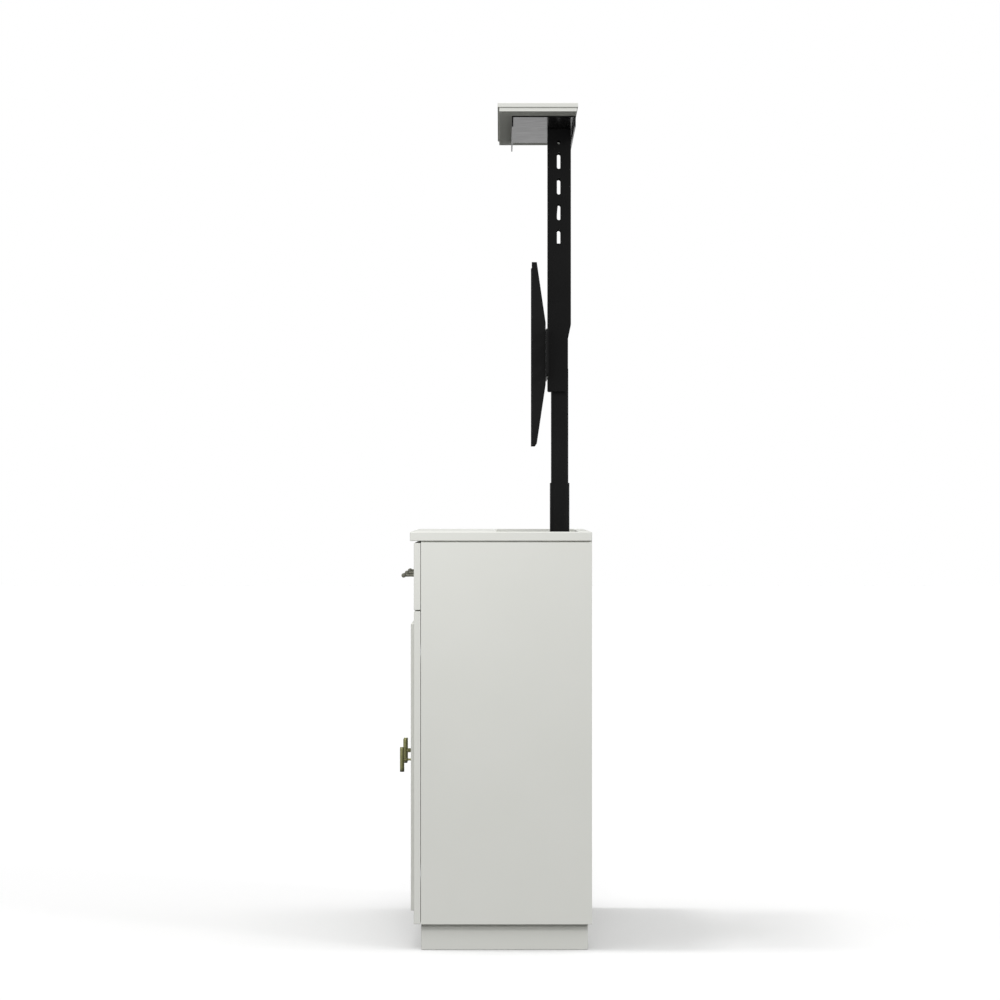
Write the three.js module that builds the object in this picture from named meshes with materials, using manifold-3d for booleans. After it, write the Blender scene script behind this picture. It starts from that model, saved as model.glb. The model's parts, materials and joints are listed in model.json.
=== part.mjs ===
// TV lift cabinet: a painted sideboard with three drawers over three doors, and a telescopic lift
// column that raises a television bracket and the lid of the cabinet. It is drawn fully raised.
// Millimetres, +Z up, +Y towards the back. X is centred on the width, and the floor is at zero.

import * as THREE from "three";
import { mergeVertices } from "three/addons/utils/BufferGeometryUtils.js";
import Module from "manifold-3d";

const wasm = await Module();
wasm.setup();

// Cabinet
const cabinetWidth = 1500;
const cabinetHeight = 919;
const topDepth = 400;
const topThickness = 20;
const topEdge = 1.2;
const revealHeight = 3;
const revealDepth = 12;
const topFrontOverhang = 24;
const panelThickness = 18;
const partitionThickness = 12;
const storageDepth = 152;
const backPanelThickness = 12;
const backPanelInset = 7;
const plinthHeight = 57;
const plinthFrontInset = 0.5;
const plinthBackInset = 9;
const plinthEndInset = 20;
const shelfSetback = 10;
const shelfThickness = 16;
const shelfHeightShare = 0.5;

// Doors and drawer fronts
const frontCount = 3;
const frontThickness = 14.5;
const frontSeatGap = 1;
const frontSideInset = 0.5;
const frontGap = 3;
const frontEdge = 0.8;
const doorBottomGap = 0.5;
const doorDrawerGap = 2.5;
const drawerTopGap = 4.5;
const drawerFrontHeight = 147.4;
const raisedPanelThickness = 7;
const raisedPanelInset = 28;

// Pulls
const pullBarLength = 56;
const pullBarRadius = 5;
const pullBarEdge = 0.6;
const pullPostRadius = 3.25;
const pullFootRadius = 4.5;
const pullFootHeight = 1.2;
const pullProjection = 30.5;
const pullEdgeInset = 39.5;

// Concealed hinges
const hingeHeightInset = 100;
const cupRadius = 17.5;
const cupDepth = 11;
const cupEdgeDistance = 22;
const cupWingThickness = 0.7;
const cupWingWidth = 30;
const cupWingHeight = 62;
const cupPocketWidth = 22;
const cupPocketHeight = 18;
const cupPocketDepth = 9;
const hingePlateThickness = 4;
const hingePlateLength = 46;
const hingePlateHeight = 44;
const hingeArmWidth = 12;
const hingeArmHeight = 15;
const hingeArmLength = 84;
const hingeNoseLength = 14;
const hingeNoseThickness = 7;

// Drawer boxes and their side runners
const drawerBoxHeight = 110;
const drawerBoxLift = 7;
const drawerBoxLength = 140;
const drawerSideThickness = 12;
const drawerBottomThickness = 6;
const drawerBottomLift = 9;
const runnerGap = 13;
const runnerHeight = 12;
const runnerTongue = 6;
const runnerLength = 132;
const runnerSetback = 4;

// Lid
const lidEndInset = 64;
const lidPartitionGap = 4.5;
const lidSetback = 30;
const lidUpperThickness = 9.7;
const lidLowerThickness = 9.3;
const lidStep = 3.5;
const lidBackStep = 2.2;
const lidClearance = 2.5;
const lidEdge = 0.8;

// Telescopic column
const columnSetback = 64.5;
const columnWidth = 90;
const columnDepth = 50;
const columnCorner = 12;
const tubeWall = 2;
const tubeClearance = 0.6;
const baseTubeDrop = 305.5;
const tubeTopStep = 5;
const tubeFootStep = 2;
const firstFootGap = 5;
const tubeEngagement = 52.5;
const laterTravelShare = 0.6;
const stageCount = 3;

// Lift drive
const basePlateLength = 260;
const basePlateDepth = 84;
const basePlateThickness = 6;
const basePlateCorner = 14;
const gearboxHeight = 25;
const gearboxDepth = 62;
const gearboxCorner = 10;
const gearboxSideOverhang = 7;
const motorOffset = 88;
const motorRadius = 21;
const motorHeight = 92;
const motorCapRadius = 16;
const motorCapHeight = 7;
const screwRadius = 6;
const screwTopDrop = 19.5;
const screwFootRadius = 10;
const screwFootHeight = 3;
const nutThickness = 12;
const controlBoxLength = 140;
const controlBoxDepth = 58;
const controlBoxHeight = 38;
const controlBoxCorner = 6;
const controlBoxOffset = 360;
const inletWidth = 24;
const inletHeight = 16;
const inletDepth = 12;

// Moving carriage
const sheet = 2.5;
const carriageClearance = 0.6;
const carriageDepth = 53.8;
const headThickness = 25.5;
const headBackSetback = 4;
const postSideClearance = 2.2;
const postLength = 398;
const bracketHeight = 206;
const bracketShoulderDrop = 84;
const bracketWaistDrop = 52;
const bracketStepBack = 6.7;
const bracketChamfer = 2;
const postTail = 50;
const slotWidth = 8.5;
const slotLength = 37.5;
const slotPitch = 59;
const slotCount = 4;
const slotFromFront = 25.9;
const topSlotDrop = 72.5;
const topHoleRadius = 4.3;
const topHoleDrop = 29.6;
const trayEndInset = 166;
const traySheet = 3;
const trayDepth = 24;
const trayFrontFromColumn = 111;
const trayBackFromColumn = 31.3;

// Television bracket
const plateHalfLength = 325;
const plateThickness = 5.2;
const plateRise = 29.4;
const plateHeight = 108.5;
const plateCorner = 8;
const plateSlotOffsets = [122, 265];
const plateSlotLength = 74;
const plateSlotWidth = 16;
const plateSlotRise = 28;
const boltHeadRadius = 6.5;
const boltHeadHeight = 5.3;
const boltSideOffset = 28;
const boltRise = 26;
const lockWasherRadius = 9;
const lockWasherThickness = 1.6;
const armSpacing = 400;
const armWidth = 30;
const armLength = 416.8;
const armEndDepth = 11.5;
const armBackDepth = 31.7;
const armWaistHeight = 140;
const armFootChamfer = 3;
const screenHoleRadius = 3.5;
const screenHoleRows = [100, 150, 200];

// Shared small values
const contactGap = 0.3;
const runningGap = 0.5;
const cutOverrun = 4;
const cableHoleRadius = 30;
const cableHoleOffset = 360;
const cableHoleHeight = 190;
const roundSteps = 20;
const smallRoundSteps = 14;
const cornerSteps = 3;
const hexSides = 6;

// Places that follow from the sizes above
const sideX = cabinetWidth / 2;
const sideInnerX = sideX - panelThickness;
const topFrontY = -topDepth / 2;
const backY = topDepth / 2;
const topUndersideZ = cabinetHeight - topThickness;
const carcassFrontY = topFrontY + topFrontOverhang;
const frontBackY = carcassFrontY - frontSeatGap;
const frontFaceY = frontBackY - frontThickness;
const raisedFaceY = frontFaceY - raisedPanelThickness;
const pullReachY = raisedFaceY - pullProjection;
const partitionFrontY = carcassFrontY + storageDepth;
const partitionBackY = partitionFrontY + partitionThickness;
const backPanelBackY = backY - backPanelInset;
const backPanelFrontY = backPanelBackY - backPanelThickness;
const bayFloorZ = plinthHeight + panelThickness;
const drawerTopZ = topUndersideZ - drawerTopGap;
const drawerBottomZ = drawerTopZ - drawerFrontHeight;
const doorTopZ = drawerBottomZ - doorDrawerGap;
const doorBottomZ = plinthHeight + doorBottomGap;
const deckMiddleZ = (doorTopZ + drawerBottomZ) / 2;
const deckBottomZ = deckMiddleZ - panelThickness / 2;
const deckTopZ = deckMiddleZ + panelThickness / 2;
const frontPitch = (cabinetWidth - 2 * frontSideInset + frontGap) / frontCount;
const frontWidth = frontPitch - frontGap;
const dividerX = frontPitch / 2;

const columnY = backY - columnSetback;
const gearboxBottomZ = bayFloorZ + basePlateThickness;
const tubeBottomZ = gearboxBottomZ + gearboxHeight;
const baseTubeTopZ = topUndersideZ - baseTubeDrop;
const firstTravel = baseTubeTopZ - tubeBottomZ - firstFootGap - tubeEngagement;
const laterTravel = firstTravel * laterTravelShare;
const liftTravel = firstTravel + (stageCount - 1) * laterTravel;
const tubeStep = 2 * (tubeWall + tubeClearance);
const sheetStep = sheet + contactGap;

const lidTopZ = cabinetHeight + liftTravel;
const lidBottomZ = lidTopZ - lidUpperThickness - lidLowerThickness;
const lidBackY = backY - lidSetback;
const lidFrontY = partitionBackY + lidPartitionGap;
const lidDepth = lidBackY - lidFrontY;
const lidLength = cabinetWidth - 2 * lidEndInset;
const trayLength = lidLength - 2 * trayEndInset;
const trayPlateZ = lidBottomZ - traySheet;
const carriageFrontY = columnY - columnDepth / 2 - carriageClearance - sheet;
const carriageBackY = carriageFrontY + carriageDepth;
const postInnerX = columnWidth / 2 + postSideClearance;
const postOuterX = postInnerX + sheet;
const bracketInnerX = postOuterX + contactGap;
const bracketOuterX = bracketInnerX + sheet;
const bracketTop = trayPlateZ - postLength;
const bracketFoot = bracketTop - bracketHeight;
const plateFrontY = carriageFrontY - plateThickness;
const plateBottom = bracketFoot + plateRise;
const plateMiddle = plateBottom + plateHeight / 2;
const armFrontY = plateFrontY - contactGap - armBackDepth;

// Finishes
const finishes = {
  paint: { color: 0xdcdcd6, roughness: 0.55, metalness: 0 },
  bare: { color: 0xcfccc2, roughness: 0.7, metalness: 0 },
  blackSteel: { color: 0x1c1c1c, roughness: 0.45, metalness: 0.4 },
  brass: { color: 0x7d7a50, roughness: 0.38, metalness: 0.9 },
  zinc: { color: 0xa9abad, roughness: 0.35, metalness: 0.9 },
  plastic: { color: 0x232325, roughness: 0.6, metalness: 0 },
};

function surface(finish) {
  return new THREE.MeshStandardMaterial(finishes[finish]);
}

// Makes a named mesh whose own origin is the middle of its shape.
function piece(name, finish, geometry) {
  geometry.computeBoundingBox();
  const middle = geometry.boundingBox.getCenter(new THREE.Vector3());
  geometry.translate(-middle.x, -middle.y, -middle.z);
  const mesh = new THREE.Mesh(geometry, surface(finish));
  mesh.name = name;
  mesh.position.copy(middle);
  return mesh;
}

// Solids and their joins and cuts
function bareGeometry(geometry) {
  const bare = geometry.clone();
  bare.deleteAttribute("normal");
  bare.deleteAttribute("uv");
  return mergeVertices(bare);
}

function solidOf(geometry) {
  const welded = bareGeometry(geometry);
  const data = {
    numProp: 3,
    vertProperties: new Float32Array(welded.attributes.position.array),
    triVerts: new Uint32Array(welded.index.array),
  };
  return new wasm.Manifold(new wasm.Mesh(data));
}

function geometryOf(solid) {
  const data = solid.getMesh();
  const geometry = new THREE.BufferGeometry();
  geometry.setAttribute("position", new THREE.BufferAttribute(data.vertProperties, data.numProp));
  geometry.setIndex(new THREE.BufferAttribute(data.triVerts, 1));
  const flat = geometry.toNonIndexed();
  flat.computeVertexNormals();
  return flat;
}

function cut(geometry, ...tools) {
  const start = solidOf(geometry);
  return geometryOf(tools.reduce((solid, tool) => solid.subtract(solidOf(tool)), start));
}

function join(geometry, ...others) {
  const start = solidOf(geometry);
  return geometryOf(others.reduce((solid, other) => solid.add(solidOf(other)), start));
}

// Shapes
function box([x0, x1], [y0, y1], [z0, z1]) {
  const geometry = new THREE.BoxGeometry(x1 - x0, y1 - y0, z1 - z0);
  return geometry.translate((x0 + x1) / 2, (y0 + y1) / 2, (z0 + z1) / 2);
}

function about(middle, size) {
  return [middle - size / 2, middle + size / 2];
}

const alongX = new THREE.Vector3(1, 0, 0);
const alongY = new THREE.Vector3(0, 1, 0);
const alongZ = new THREE.Vector3(0, 0, 1);

// Outlines are drawn as [y, z] for a prism along x, [z, x] along y, and [x, y] along z.
const turns = {
  x: new THREE.Matrix4().makeBasis(alongY, alongZ, alongX),
  y: new THREE.Matrix4().makeBasis(alongZ, alongX, alongY),
  z: new THREE.Matrix4(),
};

function prism(shape, axis, [start, end], bevel = {}) {
  const settings = { bevelEnabled: false, curveSegments: cornerSteps, ...bevel };
  const geometry = new THREE.ExtrudeGeometry(shape, { depth: end - start, ...settings });
  return geometry.translate(0, 0, start).applyMatrix4(turns[axis]);
}

function polygon(points) {
  return new THREE.Shape(points.map(([u, v]) => new THREE.Vector2(u, v)));
}

// A board with a small chamfer along all its edges.
function easedBoard([x0, x1], [y0, y1], [z0, z1], edge) {
  const outline = polygon([
    [x0 + edge, y0],
    [x1 - edge, y0],
    [x1, y0 + edge],
    [x1, y1 - edge],
    [x1 - edge, y1],
    [x0 + edge, y1],
    [x0, y1 - edge],
    [x0, y0 + edge],
  ]);
  const bevel = {
    bevelEnabled: true,
    bevelThickness: edge,
    bevelSize: edge,
    bevelOffset: -edge,
    bevelSegments: 1,
  };
  return prism(outline, "z", [z0 + edge, z1 - edge], bevel);
}

function roundedShape(x, y, width, depth, radius) {
  const [left, right] = about(x, width);
  const [front, back] = about(y, depth);
  const shape = new THREE.Shape();
  shape.absarc(right - radius, front + radius, radius, -Math.PI / 2, 0, false);
  shape.absarc(right - radius, back - radius, radius, 0, Math.PI / 2, false);
  shape.absarc(left + radius, back - radius, radius, Math.PI / 2, Math.PI, false);
  shape.absarc(left + radius, front + radius, radius, Math.PI, Math.PI * 1.5, false);
  return shape;
}

// A slot with round ends, long in the second direction of its outline.
function slotShape(u, v, length, width) {
  const radius = width / 2;
  const reach = length / 2 - radius;
  const shape = new THREE.Shape();
  shape.absarc(u, v + reach, radius, 0, Math.PI, false);
  shape.absarc(u, v - reach, radius, Math.PI, 2 * Math.PI, false);
  return shape;
}

// A round rod along one axis, from start to end, before it is moved to its place.
function rod(radius, axis, [start, end], steps = roundSteps) {
  const geometry = new THREE.CylinderGeometry(radius, radius, end - start, steps);
  geometry.rotateX(Math.PI / 2).translate(0, 0, (start + end) / 2);
  return geometry.applyMatrix4(turns[axis]);
}

// A round bar with chamfered ends, centred on zero.
function turnedBar(radius, axis, length, edge) {
  const half = length / 2;
  const profile = [
    [0, -half],
    [radius - edge, -half],
    [radius, edge - half],
    [radius, half - edge],
    [radius - edge, half],
    [0, half],
  ];
  const geometry = new THREE.LatheGeometry(profile.map(([r, h]) => new THREE.Vector2(r, h)), roundSteps);
  return geometry.rotateX(Math.PI / 2).applyMatrix4(turns[axis]);
}

// Cabinet top, with a through opening for the lift and a rebate that the lid closes into.
function cabinetTop() {
  const board = easedBoard([-sideX, sideX], [topFrontY, backY], [topUndersideZ, cabinetHeight], topEdge);
  const ledgeZ = cabinetHeight - lidUpperThickness - contactGap;
  const lidMiddleY = (lidFrontY + lidBackY) / 2;
  const rebate = box(
    about(0, lidLength + 2 * lidClearance),
    about(lidMiddleY, lidDepth + 2 * lidClearance),
    [ledgeZ, cabinetHeight + cutOverrun],
  );
  const opening = box(
    about(0, lidLength - 2 * lidStep + 2 * lidClearance),
    [lidFrontY + lidStep - lidClearance, lidBackY - lidBackStep + lidClearance],
    [topUndersideZ - cutOverrun, cabinetHeight],
  );
  return piece("cabinet_top", "paint", cut(board, rebate, opening));
}

// Hardwood strip that a drawer slides on, glued to the panel at panelX and reaching to one side.
const drawerBoxBottomZ = deckTopZ + drawerBoxLift;
const runnerZ = drawerBoxBottomZ + drawerBoxHeight / 2;

function runner(panelX, side) {
  const root = panelX - side * panelThickness / 2;
  const tip = panelX + side * (runnerGap + runnerTongue);
  const startY = carcassFrontY + runnerSetback;
  const spanX = [Math.min(root, tip), Math.max(root, tip)];
  return box(spanX, [startY, startY + runnerLength], about(runnerZ, runnerHeight));
}

// Side panel: its outer top edge is rebated, which leaves the shadow gap under the top.
function sidePanel(name, side) {
  const shoulderZ = topUndersideZ - revealHeight;
  const outline = polygon([
    [plinthHeight, side * sideInnerX],
    [plinthHeight, side * sideX],
    [shoulderZ, side * sideX],
    [shoulderZ, side * (sideX - revealDepth)],
    [topUndersideZ, side * (sideX - revealDepth)],
    [topUndersideZ, side * sideInnerX],
  ]);
  const board = prism(outline, "y", [carcassFrontY, backY]);
  return piece(name, "paint", join(board, runner(side * sideInnerX, -side)));
}

// Upright between two drawers, with a runner on each face.
function drawerDivider(name, middle) {
  const [leftFace, rightFace] = dividerSpan(middle);
  const board = box([leftFace, rightFace], [carcassFrontY, partitionFrontY], [deckTopZ, topUndersideZ]);
  return piece(name, "paint", join(board, runner(leftFace, -1), runner(rightFace, 1)));
}

function backPanel() {
  const board = box(
    [-sideInnerX, sideInnerX],
    [backPanelFrontY, backPanelBackY],
    [bayFloorZ, topUndersideZ],
  );
  const cutSpan = [backPanelFrontY - cutOverrun, backPanelBackY + cutOverrun];
  const hole = rod(cableHoleRadius, "y", cutSpan);
  hole.translate(-cableHoleOffset, 0, cableHoleHeight);
  return piece("back_panel", "paint", cut(board, hole));
}

// Recessed base frame, glued up from four boards.
function plinth() {
  const [left, right] = about(0, cabinetWidth - 2 * plinthEndInset);
  const [front, back] = [carcassFrontY + plinthFrontInset, backY - plinthBackInset];
  const ring = cut(
    box([left, right], [front, back], [0, plinthHeight]),
    box(
      [left + panelThickness, right - panelThickness],
      [front + panelThickness, back - panelThickness],
      [-cutOverrun, plinthHeight + cutOverrun],
    ),
  );
  return piece("plinth_frame", "paint", ring);
}

function dividerSpan(middle) {
  return about(middle, panelThickness);
}

function innerBoards() {
  const fullWidth = [-sideInnerX, sideInnerX];
  const floorRun = [carcassFrontY, backPanelBackY];
  const partition = [partitionFrontY, partitionBackY];
  const storage = [carcassFrontY, partitionFrontY];
  const shelfRun = [carcassFrontY + shelfSetback, partitionFrontY];
  const [dividerLeftFace, dividerRightFace] = dividerSpan(dividerX);
  const shelfZ = bayFloorZ + (deckBottomZ - bayFloorZ) * shelfHeightShare;
  const shelfSpan = about(shelfZ, shelfThickness);
  return [
    piece("bottom_panel", "paint", box(fullWidth, floorRun, [plinthHeight, bayFloorZ])),
    piece("bay_partition", "paint", box(fullWidth, partition, [bayFloorZ, topUndersideZ])),
    piece("drawer_deck", "paint", box(fullWidth, storage, [deckBottomZ, deckTopZ])),
    drawerDivider("drawer_divider_left", -dividerX),
    drawerDivider("drawer_divider_right", dividerX),
    piece("lower_divider", "paint", box(dividerSpan(dividerX), storage, [bayFloorZ, deckBottomZ])),
    piece("shelf_wide", "paint", box([-sideInnerX, dividerLeftFace], shelfRun, shelfSpan)),
    piece("shelf_narrow", "paint", box([dividerRightFace, sideInnerX], shelfRun, shelfSpan)),
  ];
}

// Doors: where each one stands, and the side on which it is hinged.
const doorPlans = [
  { name: "left", middle: -frontPitch, side: -1, carrierX: -sideInnerX },
  { name: "middle", middle: 0, side: 1, carrierX: dividerX - panelThickness / 2 },
  { name: "right", middle: frontPitch, side: 1, carrierX: sideInnerX },
];
const hingeHeights = {
  lower: doorBottomZ + hingeHeightInset,
  upper: doorTopZ - hingeHeightInset,
};

function cupX({ middle, side }) {
  return middle + side * (frontWidth / 2 - cupEdgeDistance);
}

// A T-bar pull: one post with a foot, and a round bar across its end.
function pull(name, faceY, x, z, barAxis) {
  const barY = faceY - pullProjection + pullBarRadius;
  const bar = turnedBar(pullBarRadius, barAxis, pullBarLength, pullBarEdge).translate(x, barY, z);
  const post = rod(pullPostRadius, "y", [barY, faceY], smallRoundSteps).translate(x, 0, z);
  const foot = rod(pullFootRadius, "y", [faceY - pullFootHeight, faceY], smallRoundSteps);
  return piece(name, "brass", join(bar, post, foot.translate(x, 0, z)));
}

// Hinge cup, let into the back of the door, with two screw wings and a pocket for the links.
function hingeCup(plan, level) {
  const [x, z] = [cupX(plan), hingeHeights[level]];
  const wingFaceY = frontBackY + cupWingThickness;
  const cup = rod(cupRadius, "y", [frontBackY - cupDepth, wingFaceY]).translate(x, 0, z);
  const wing = box(about(x, cupWingWidth), [frontBackY, wingFaceY], about(z, cupWingHeight));
  const pocketY = [frontBackY - cupPocketDepth, wingFaceY + cutOverrun];
  const pocket = box(about(x, cupPocketWidth), pocketY, about(z, cupPocketHeight));
  return piece(`hinge_cup_${plan.name}_${level}`, "zinc", cut(join(cup, wing), pocket));
}

// Door: one board with a raised field on its front, and two seats for the hinge cups at its back.
function door(plan) {
  const span = about(plan.middle, frontWidth);
  const board = easedBoard(span, [frontFaceY, frontBackY], [doorBottomZ, doorTopZ], frontEdge);
  const field = easedBoard(
    about(plan.middle, frontWidth - 2 * raisedPanelInset),
    [raisedFaceY, frontFaceY + frontThickness / 2],
    [doorBottomZ + raisedPanelInset, doorTopZ - raisedPanelInset],
    frontEdge,
  );
  const seatY = [frontBackY - cupDepth - contactGap, frontBackY + cutOverrun];
  const seats = Object.values(hingeHeights).map((z) => {
    return rod(cupRadius + contactGap, "y", seatY).translate(cupX(plan), 0, z);
  });
  const pullX = plan.middle - plan.side * (frontWidth / 2 - pullEdgeInset);
  const pullZ = (doorBottomZ + doorTopZ) / 2;
  const leaf = new THREE.Group();
  leaf.add(
    piece(`door_${plan.name}`, "paint", cut(join(board, field), ...seats)),
    pull(`door_pull_${plan.name}`, raisedFaceY, pullX, pullZ, "z"),
    hingeCup(plan, "lower"),
    hingeCup(plan, "upper"),
  );
  return leaf;
}

// Hinge arm on the cabinet side: a cranked arm from the mounting plate to the mouth of the cup.
function hingeArm(plan, level) {
  const { name, side, carrierX } = plan;
  const z = hingeHeights[level];
  const noseY = frontBackY + cupWingThickness + contactGap;
  const cupReach = side * (carrierX - cupX(plan));
  const noseInner = Math.max(hingePlateThickness, cupReach - hingeNoseThickness / 2);
  const noseOuter = noseInner + hingeNoseThickness;
  const armInner = hingePlateThickness / 2;
  const armOuter = hingePlateThickness + hingeArmWidth;
  const endY = noseY + hingeArmLength;
  const outline = [
    [noseInner, noseY],
    [noseOuter, noseY],
    [noseOuter, noseY + hingeNoseLength],
    [armOuter, noseY + 2 * hingeNoseLength],
    [armOuter, endY],
    [armInner, endY],
    [armInner, noseY + 2 * hingeNoseLength],
    [noseInner, noseY + hingeNoseLength],
  ];
  const arm = polygon(outline.map(([reach, y]) => [carrierX - side * reach, y]));
  const plateX = [carrierX - side * hingePlateThickness, carrierX].sort((a, b) => a - b);
  const plate = box(plateX, [endY - hingePlateLength, endY], about(z, hingePlateHeight));
  const whole = join(prism(arm, "z", about(z, hingeArmHeight)), plate);
  return piece(`hinge_arm_${name}_${level}`, "zinc", whole);
}

// Drawers: the clear width of each bay, from the left.
const drawerPlans = [
  { name: "left", middle: -frontPitch, bay: [-sideInnerX, dividerSpan(-dividerX)[0]] },
  { name: "middle", middle: 0, bay: [dividerSpan(-dividerX)[1], dividerSpan(dividerX)[0]] },
  { name: "right", middle: frontPitch, bay: [dividerSpan(dividerX)[1], sideInnerX] },
];

function drawer({ name, middle, bay }) {
  const frontZ = [drawerBottomZ, drawerTopZ];
  const frontBoard = easedBoard(about(middle, frontWidth), [frontFaceY, frontBackY], frontZ, frontEdge);
  const [left, right] = [bay[0] + runnerGap, bay[1] - runnerGap];
  const run = [frontBackY, frontBackY + drawerBoxLength];
  const height = [drawerBoxBottomZ, drawerBoxBottomZ + drawerBoxHeight];
  const inside = [left + drawerSideThickness, right - drawerSideThickness];
  const insideRun = [run[0] + drawerSideThickness, run[1] - drawerSideThickness];
  const grooveDepth = runnerTongue + runningGap;
  const grooveRun = [run[0] - cutOverrun, run[1] + cutOverrun];
  const grooveZ = about(runnerZ, runnerHeight + 2 * contactGap);
  const bottomZ = drawerBoxBottomZ + drawerBottomLift;
  const tray = cut(
    box([left, right], run, height),
    box(inside, insideRun, [bottomZ + drawerBottomThickness, height[1] + cutOverrun]),
    box(inside, insideRun, [height[0] - cutOverrun, bottomZ]),
    box([left - cutOverrun, left + grooveDepth], grooveRun, grooveZ),
    box([right - grooveDepth, right + cutOverrun], grooveRun, grooveZ),
  );
  const pullZ = (drawerBottomZ + drawerTopZ) / 2;
  const unit = new THREE.Group();
  unit.add(
    piece(`drawer_front_${name}`, "paint", frontBoard),
    piece(`drawer_box_${name}`, "bare", tray),
    pull(`drawer_pull_${name}`, frontFaceY, middle, pullZ, "x"),
  );
  return unit;
}

// Telescopic column: each tube slides in the one before it. Stage 0 is fixed.
function raisedBy(stage) {
  return stage === 0 ? 0 : firstTravel + (stage - 1) * laterTravel;
}

function tubeFootZ(stage) {
  if (stage === 0) {
    return tubeBottomZ;
  }
  const nutRoom = stage > 1 ? nutThickness + (stage - 1) * tubeFootStep : 0;
  return tubeBottomZ + firstFootGap + nutRoom + raisedBy(stage);
}

function tubeTopZ(stage) {
  return baseTubeTopZ + stage * tubeTopStep + raisedBy(stage);
}

function tubeSection(stage, inset = 0) {
  const narrower = stage * tubeStep + 2 * inset;
  const corner = columnCorner - narrower / 2;
  return roundedShape(0, columnY, columnWidth - narrower, columnDepth - narrower, corner);
}

function tube(name, stage) {
  const section = tubeSection(stage);
  section.holes.push(tubeSection(stage, tubeWall));
  return piece(name, "blackSteel", prism(section, "z", [tubeFootZ(stage), tubeTopZ(stage)]));
}

function liftDrive() {
  const plate = prism(
    roundedShape(0, columnY, basePlateLength, basePlateDepth, basePlateCorner),
    "z",
    [bayFloorZ, gearboxBottomZ],
  );
  const gearboxLeft = -columnWidth / 2 - gearboxSideOverhang;
  const gearboxRight = motorOffset + motorRadius + gearboxSideOverhang;
  const gearbox = prism(
    roundedShape(
      (gearboxLeft + gearboxRight) / 2,
      columnY,
      gearboxRight - gearboxLeft,
      gearboxDepth,
      gearboxCorner,
    ),
    "z",
    [gearboxBottomZ, tubeBottomZ],
  );
  const canTopZ = tubeBottomZ + motorHeight;
  const can = rod(motorRadius, "z", [tubeBottomZ, canTopZ]);
  const cap = rod(motorCapRadius, "z", [tubeBottomZ, canTopZ + motorCapHeight]);
  const motor = join(can, cap).translate(motorOffset, columnY, 0);
  const foot = rod(screwFootRadius, "z", [tubeBottomZ, tubeBottomZ + screwFootHeight]);
  const shaft = rod(screwRadius, "z", [tubeBottomZ, baseTubeTopZ - screwTopDrop]);
  const screw = join(shaft, foot).translate(0, columnY, 0);
  return [
    piece("lift_base_plate", "blackSteel", plate),
    piece("drive_gearbox", "plastic", gearbox),
    piece("drive_motor", "blackSteel", motor),
    piece("lead_screw", "zinc", screw),
  ];
}

function driveNut() {
  const footZ = tubeFootZ(1);
  const span = [footZ, footZ + nutThickness];
  const section = tubeSection(1, tubeWall + contactGap);
  const bore = rod(screwRadius + contactGap, "z", [span[0] - cutOverrun, span[1] + cutOverrun]);
  return piece("drive_nut", "plastic", cut(prism(section, "z", span), bore.translate(0, columnY, 0)));
}

function controlBox() {
  const body = prism(
    roundedShape(-controlBoxOffset, columnY, controlBoxLength, controlBoxDepth, controlBoxCorner),
    "z",
    [bayFloorZ, bayFloorZ + controlBoxHeight],
  );
  const endX = controlBoxLength / 2 - controlBoxOffset;
  const inlet = box(
    [endX - inletDepth, endX + cutOverrun],
    about(columnY, inletWidth),
    about(bayFloorZ + controlBoxHeight / 2, inletHeight),
  );
  return piece("control_box", "plastic", cut(body, inlet));
}

// Carriage: what the innermost tube lifts.
function columnHead() {
  const columnTopZ = tubeTopZ(stageCount);
  const headZ = [columnTopZ, columnTopZ + headThickness];
  const headX = about(0, 2 * (postInnerX - contactGap));
  const headY = [carriageFrontY + sheetStep, carriageBackY - headBackSetback];
  return piece("column_head", "blackSteel", box(headX, headY, headZ));
}

// Channel that wraps the column, with its web to the front. Its lower part is stepped at the back.
function carriageBracket() {
  const stepY = carriageBackY - bracketStepBack;
  const side = polygon([
    [carriageFrontY + bracketChamfer, bracketFoot],
    [stepY, bracketFoot],
    [stepY, bracketTop - bracketShoulderDrop],
    [carriageBackY, bracketTop - bracketWaistDrop],
    [carriageBackY, bracketTop],
    [carriageFrontY, bracketTop],
    [carriageFrontY, bracketFoot + bracketChamfer],
  ]);
  const channel = cut(
    prism(side, "x", about(0, 2 * bracketOuterX)),
    box(
      about(0, 2 * bracketInnerX),
      [carriageFrontY + sheet, carriageBackY + cutOverrun],
      [bracketFoot - cutOverrun, bracketTop + cutOverrun],
    ),
  );
  return piece("carriage_bracket", "blackSteel", channel);
}

// Slotted channel that carries the lid. Its two tails reach down inside the carriage bracket.
function lidPost() {
  const webFootZ = bracketTop + contactGap;
  const block = box(
    about(0, 2 * postOuterX),
    [carriageFrontY, carriageBackY],
    [bracketTop - postTail, trayPlateZ],
  );
  const hollow = box(
    about(0, 2 * postInnerX),
    [carriageFrontY + sheet, carriageBackY + cutOverrun],
    [bracketTop - postTail - cutOverrun, trayPlateZ + cutOverrun],
  );
  const webRelief = box(
    about(0, 2 * postOuterX + cutOverrun),
    [carriageFrontY - cutOverrun, carriageFrontY + sheetStep],
    [bracketTop - postTail - cutOverrun, webFootZ],
  );
  const slotY = carriageFrontY + slotFromFront;
  const through = about(0, 2 * (postOuterX + cutOverrun));
  const slots = Array.from({ length: slotCount }, (unused, index) => {
    const slotZ = trayPlateZ - topSlotDrop - index * slotPitch;
    return prism(slotShape(slotY, slotZ, slotLength, slotWidth), "x", through);
  });
  const hole = rod(topHoleRadius, "x", through, smallRoundSteps);
  hole.translate(0, slotY, trayPlateZ - topHoleDrop);
  return piece("lid_post", "blackSteel", cut(block, hollow, webRelief, hole, ...slots));
}

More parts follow.
